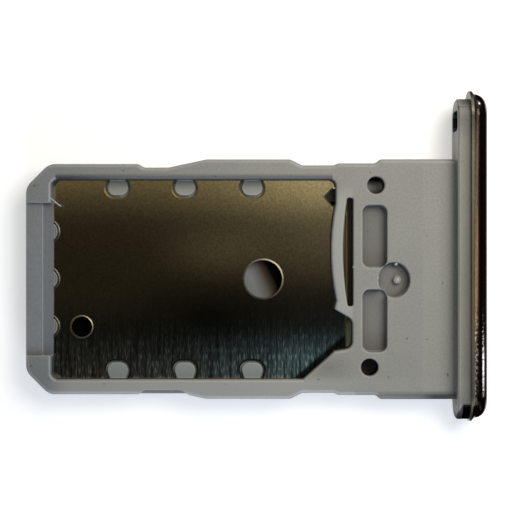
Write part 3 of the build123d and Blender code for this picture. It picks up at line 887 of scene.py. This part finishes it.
def make_mats():
    """Dark sheets of painted shade that only show through the tray's holes, with painted light in part
    below the large hole, and faintly below the slot, the finger notch and the far pin hole."""
    material, tree, surface = new_material("painted_shade_sheet")
    place = add(tree, "ShaderNodeTexCoord").outputs["Object"]
    across = add(tree, "ShaderNodeSeparateXYZ", {"Vector": place})
    slant = add(tree, "ShaderNodeMath", {
        0: across.outputs["Y"], 1: 0.5, 2: across.outputs["X"],
    }, operation="MULTIPLY_ADD")
    under_plate = add(tree, "ShaderNodeMapRange", {
        "Value": slant.outputs["Value"], "From Min": mm(-2), "From Max": mm(1),
    })
    plate_side = add(tree, "ShaderNodeValToRGB", {"Fac": under_plate.outputs["Result"]}, stops=[
        (0.1, colour("#080706")),
        (0.23, colour("#7E8280")),
        (0.42, colour("#7E8280")),
        (0.57, colour("#625E5A")),
        (0.66, colour("#40362F")),
        (0.77, colour("#080706")),
    ])
    under_deck = add(tree, "ShaderNodeMapRange", {
        "Value": across.outputs["Y"], "From Min": mm(-5.6), "From Max": mm(3.6),
    })
    deck_side = add(tree, "ShaderNodeValToRGB", {"Fac": under_deck.outputs["Result"]}, stops=[
        (0.11, colour("#4A4844")),
        (0.13, colour("#BCC1AA")),
        (0.27, colour("#BCC1AA")),
        (0.3, colour("#82795F")),
        (0.88, colour("#82795F")),
        (0.915, colour("#48484A")),
        (0.945, colour("#C8C8CC")),
        (0.955, colour("#C4C4C4")),
        (0.98, colour("#282624")),
    ])
    beyond = add(tree, "ShaderNodeMapRange", {
        "Value": across.outputs["X"], "From Min": mm(3.8), "From Max": mm(3.85),
    })
    ground = add(tree, "ShaderNodeMix", {
        "Factor": beyond.outputs["Result"], 6: plate_side.outputs["Color"], 7: deck_side.outputs["Color"],
    }, data_type="RGBA")
    across_slot = add(tree, "ShaderNodeMapRange", {
        "Value": across.outputs["X"], "From Min": mm(3.8), "From Max": mm(4.4),
    })
    slot_side = add(tree, "ShaderNodeValToRGB", {"Fac": across_slot.outputs["Result"]}, stops=[
        (0.4, colour("#FBDCA6")),
        (0.5, colour("#DDBD88")),
        (0.58, colour("#5A5042")),
        (0.9, colour("#544C40")),
    ])
    tone = add(tree, "ShaderNodeMix", {
        "Factor": within(tree, across, **arm_slot),
        6: ground.outputs[2], 7: slot_side.outputs["Color"],
    }, data_type="RGBA")
    shader = add(tree, "ShaderNodeBsdfPrincipled", {
        "Base Color": tone.outputs[2], "Roughness": 0.9, "Specular IOR Level": 0.0,
        "Emission Color": tone.outputs[2], "Emission Strength": 0.04,
    })
    tree.links.new(shader.outputs["BSDF"], surface)
    made = []
    for name, left, right, near, far in mats:
        middle = ((left + right) / 2, (near + far) / 2, mat_height)
        mat = stage_plane(name, middle, right - left, far - near)
        mat.data.materials.append(material)
        made.append(mat)
    return made


def make_flags():
    """Black flags that only show as reflections in the cap."""
    material, tree, surface = new_material("black_velvet")
    shader = add(tree, "ShaderNodeBsdfPrincipled", {"Base Color": colour("#050505"), "Roughness": 1.0})
    tree.links.new(shader.outputs["BSDF"], surface)
    lying = ((flag_start + flag_place) / 2, 0, flag_rise)
    overhead = ((card_right + flag_place) / 2, 0, flag_height)
    beside = ((small_flag_left + small_flag_right) / 2, small_flag_place, small_flag_height / 2)
    flags = [
        stage_plane("upright_flag", (flag_place, 0, flag_height / 2), flag_height, 2 * flag_half, -90),
        stage_plane("lying_flag", lying, flag_place - flag_start, 2 * flag_half),
        stage_plane("overhead_flag", overhead, flag_place - card_right, 2 * flag_half, 180),
        stage_plane("near_side_flag", beside, small_flag_right - small_flag_left, small_flag_height,
                    -90, "X"),
    ]
    for name, side in (("far_end_flag", 1), ("near_end_flag", -1)):
        beyond = ((flag_end_left + flag_start) / 2, side * (flag_gap + flag_half) / 2, flag_rise)
        flags.append(stage_plane(name, beyond, flag_start - flag_end_left, flag_half - flag_gap))
    for flag in flags:
        flag.data.materials.append(material)
        flag.visible_camera = False
        flag.visible_diffuse = False
        flag.visible_shadow = False


def make_card():
    """Reflector card: warm at the far side, dark over the middle and faintly blue at the near side."""
    middle = ((card_left + card_right) / 2, 0, card_height)
    card = stage_plane("reflector_card", middle, card_right - card_left, 2 * card_half, 180)
    card.visible_camera = False
    material, tree, surface = new_material("reflector_glow")
    place = add(tree, "ShaderNodeTexCoord").outputs["Object"]
    across = add(tree, "ShaderNodeSeparateXYZ", {"Vector": place})
    depth = add(tree, "ShaderNodeMapRange", {
        "Value": across.outputs["Y"], "From Min": mm(-card_fade), "From Max": mm(card_fade),
    })
    left = add(tree, "ShaderNodeValToRGB", {"Fac": depth.outputs["Result"]}, stops=[
        (0.0, colour("#40413D")),
        (0.2, colour("#191B18")),
        (0.36, colour("#2A2619")),
        (0.5, colour("#2B2619")),
        (0.64, colour("#302A1F")),
        (0.74, colour("#5A4F38")),
        (0.8, colour("#7B6C4C")),
        (1.0, colour("#A08C60")),
    ])
    right = add(tree, "ShaderNodeValToRGB", {"Fac": depth.outputs["Result"]}, stops=[
        (0.0, colour("#6A848E")),
        (0.1, colour("#5F7881")),
        (0.2, colour("#171A19")),
        (0.36, colour("#201E17")),
        (0.52, colour("#5C5440")),
        (0.64, colour("#6A6149")),
        (0.74, colour("#B4A57B")),
        (1.0, colour("#D8C799")),
    ])
    side = add(tree, "ShaderNodeMapRange", {
        "Value": across.outputs["X"], "From Min": mm(card_dim_side), "From Max": mm(card_bright_side),
    })
    weight = add(tree, "ShaderNodeMath", {0: side.outputs["Result"], 1: 2.4}, operation="POWER")
    glow = add(tree, "ShaderNodeMix", {
        "Factor": weight.outputs["Value"], 6: left.outputs["Color"], 7: right.outputs["Color"],
    }, data_type="RGBA")
    shade = 1.0
    for centre, size, change in card_patches:
        patch = soft_patch(tree, place, centre, size, change)
        shade = add(tree, "ShaderNodeMath", {0: shade, 1: patch}, operation="MULTIPLY").outputs["Value"]
    emission = add(tree, "ShaderNodeEmission", {"Color": glow.outputs[2], "Strength": shade})
    tree.links.new(emission.outputs["Emission"], surface)
    card.data.materials.append(material)


def area_light(name, place, target, width, height, power, tint):
    """Area light that faces a target and isn't seen itself."""
    lamp = bpy.data.lights.new(name, "AREA")
    lamp.shape = "RECTANGLE"
    lamp.size = mm(width)
    lamp.size_y = mm(height)
    lamp.energy = power
    lamp.color = colour(tint)[:3]
    holder = bpy.data.objects.new(name, lamp)
    bpy.context.scene.collection.objects.link(holder)
    holder.location = mm(place)
    holder.rotation_euler = (mm(target) - mm(place)).to_track_quat("-Z", "Y").to_euler()
    holder.visible_camera = False
    return holder


def make_lights(others):
    """Soft key over the upper right and weak fill on all but the cap, three lamps for the cap alone and a
    cool surround."""
    azimuth = math.radians(key_azimuth)
    elevation = math.radians(key_elevation)
    key_place = key_distance * Vector((
        math.cos(elevation) * math.cos(azimuth),
        math.cos(elevation) * math.sin(azimuth),
        math.sin(elevation),
    ))
    key = area_light("key", key_place, (0, 0, 1), key_size, key_size, key_power, key_tint)
    cap_key = area_light("cap_key", key_place, (0, 0, 1), cap_key_size, cap_key_size, cap_key_power,
                         key_tint)
    fill = area_light("fill", fill_place, (0, 0, 1), fill_size, fill_size, fill_power, fill_tint)
    strip = area_light("cap_strip", strip_place, strip_target, strip_width, strip_height, strip_power,
                       lamp_white)
    glint = area_light("cap_glint", glint_place, glint_target, glint_size, glint_size, glint_power,
                       lamp_white)
    cap_only = bpy.data.collections.new("cap_only")
    cap_only.objects.link(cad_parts["end_cap"])
    for lamp in (cap_key, strip, glint):
        lamp.light_linking.receiver_collection = cap_only
    all_but_cap = bpy.data.collections.new("all_but_cap")
    for lit in (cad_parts["carrier_frame"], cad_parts["floor_plate"], *others):
        all_but_cap.objects.link(lit)
    for lamp in (key, fill):
        lamp.light_linking.receiver_collection = all_but_cap
    world = bpy.data.worlds.new("surround")
    world.use_nodes = True
    background = world.node_tree.nodes["Background"]
    background.inputs["Color"].default_value = colour(world_tint)
    background.inputs["Strength"].default_value = world_strength
    bpy.context.scene.world = world


def make_camera():
    """Camera straight above the middle of the tray."""
    lens = bpy.data.cameras.new("camera")
    lens.lens = focal_length
    lens.sensor_width = sensor_width
    lens.clip_start = mm(1)
    lens.clip_end = mm(5000)
    camera = bpy.data.objects.new("camera", lens)
    camera.location = (0, 0, mm(camera_height))
    bpy.context.scene.collection.objects.link(camera)
    bpy.context.scene.camera = camera
    bpy.context.scene.view_settings.view_transform = "Standard"


make_camera()
table = make_floor()
shade_sheets = make_mats()
make_card()
make_flags()
dress("carrier_frame", moulded_polycarbonate())
dress("floor_plate", rolled_stainless())
dress("end_cap", coated_aluminium())
torn_plastic = pale_crumb_plastic()
whisker = make_flash_whisker(torn_plastic)
crumbs = make_crumbs(torn_plastic)
make_lights([table, *shade_sheets, whisker, *crumbs])
